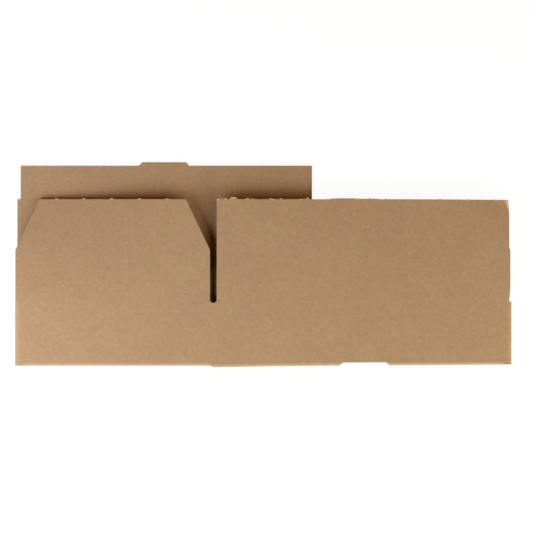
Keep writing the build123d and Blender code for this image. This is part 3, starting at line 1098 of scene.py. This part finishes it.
# A white sweep that shows white to the camera and keeps the carton's soft shadow
def buildStage():
    half = studio["floorSize"] / 2
    mesh = bpy.data.meshes.new("studioFloor")
    corners = [(x * half, y * half, -studio["floorBelow"]) for x, y in ((-1, -1), (1, -1), (1, 1), (-1, 1))]
    mesh.from_pydata(corners, [], [(0, 1, 2, 3)])
    floor = bpy.data.objects.new("studioFloor", mesh)
    bpy.context.collection.objects.link(floor)
    material, tree = newMaterial("whitePaperSweep")
    ray = addNode(tree, "ShaderNodeLightPath")
    seen = addNode(tree, "ShaderNodeMath", {"operation": "MAXIMUM"}, {
        0: ray.outputs["Is Camera Ray"], 1: ray.outputs["Is Glossy Ray"]})
    seen = addNode(tree, "ShaderNodeMath", {"operation": "MAXIMUM"}, {
        0: seen.outputs[0], 1: ray.outputs["Is Transmission Ray"]})
    paper = addNode(tree, "ShaderNodeBsdfDiffuse", None, {"Color": studio["floorColour"]})
    shaded = addNode(tree, "ShaderNodeBsdfDiffuse", None, {"Color": studio["floorSeen"]})
    glow = addNode(tree, "ShaderNodeEmission", None, {
        "Color": studio["white"], "Strength": studio["floorGlow"]})
    lifted = addNode(tree, "ShaderNodeAddShader", None, {0: shaded.outputs[0], 1: glow.outputs[0]})
    chosen = addNode(tree, "ShaderNodeMixShader", None, {
        0: seen.outputs[0], 1: paper.outputs[0], 2: lifted.outputs[0]})
    addNode(tree, "ShaderNodeOutputMaterial", None, {"Surface": chosen.outputs[0]})
    mesh.materials.append(material)


# Soft square lamps that all face the origin
def buildLamps():
    for name, bearing, height, distance, size, power, colour in studio["lamps"]:
        turn, lift = math.radians(bearing), math.radians(height)
        level = math.cos(lift)
        away = Vector((-math.sin(turn) * level, -math.cos(turn) * level, math.sin(lift)))
        lamp = bpy.data.lights.new(name, "AREA")
        lamp.shape = "SQUARE"
        lamp.size = size
        lamp.energy = power
        lamp.color = colour
        holder = bpy.data.objects.new(name, lamp)
        holder.location = away * distance
        holder.rotation_mode = "QUATERNION"
        holder.rotation_quaternion = (-away).to_track_quat("-Z", "Y")
        bpy.context.collection.objects.link(holder)


# The camera looks straight down from far off, so the view is nearly parallel
def buildCamera():
    camera = bpy.data.cameras.new("aboveTheTable")
    holder = bpy.data.objects.new("aboveTheTable", camera)
    camera.sensor_width = studio["sensorMillimetres"]
    camera.lens = camera.sensor_width * studio["cameraDistance"] / studio["frameWidth"]
    camera.clip_end = studio["clipEnd"]
    holder.location = (studio["aimX"], studio["aimY"], studio["cameraDistance"] + stackTop * mm)
    bpy.context.collection.objects.link(holder)
    bpy.context.scene.camera = holder


# White to the camera, and to the object a warm glow that fades from the horizon to the zenith
def buildWorld():
    world = bpy.data.worlds.new("studioWorld")
    bpy.context.scene.world = world
    world.use_nodes = True
    tree = world.node_tree
    tree.nodes.clear()
    ray = addNode(tree, "ShaderNodeLightPath")
    direction = addNode(tree, "ShaderNodeTexCoord").outputs["Generated"]
    upward = addNode(tree, "ShaderNodeSeparateXYZ", None, {0: direction})
    strength = addNode(tree, "ShaderNodeMapRange", None, {
        "Value": upward.outputs["Z"], "From Min": 0.0, "From Max": 1.0,
        "To Min": studio["fillStrength"], "To Max": 0.0})
    soft = addNode(tree, "ShaderNodeBackground", None, {
        "Color": studio["fillColour"], "Strength": strength.outputs[0]})
    white = addNode(tree, "ShaderNodeBackground", None, {"Color": studio["white"], "Strength": 1.0})
    chosen = addNode(tree, "ShaderNodeMixShader", None, {
        0: ray.outputs["Is Camera Ray"], 1: soft.outputs[0], 2: white.outputs[0]})
    addNode(tree, "ShaderNodeOutputWorld", None, {"Surface": chosen.outputs[0]})


buildStage()
buildWorld()
buildLamps()
buildCamera()
bpy.context.scene.view_settings.view_transform = "Standard"
print("stage made")

bpy.context.view_layer.update()
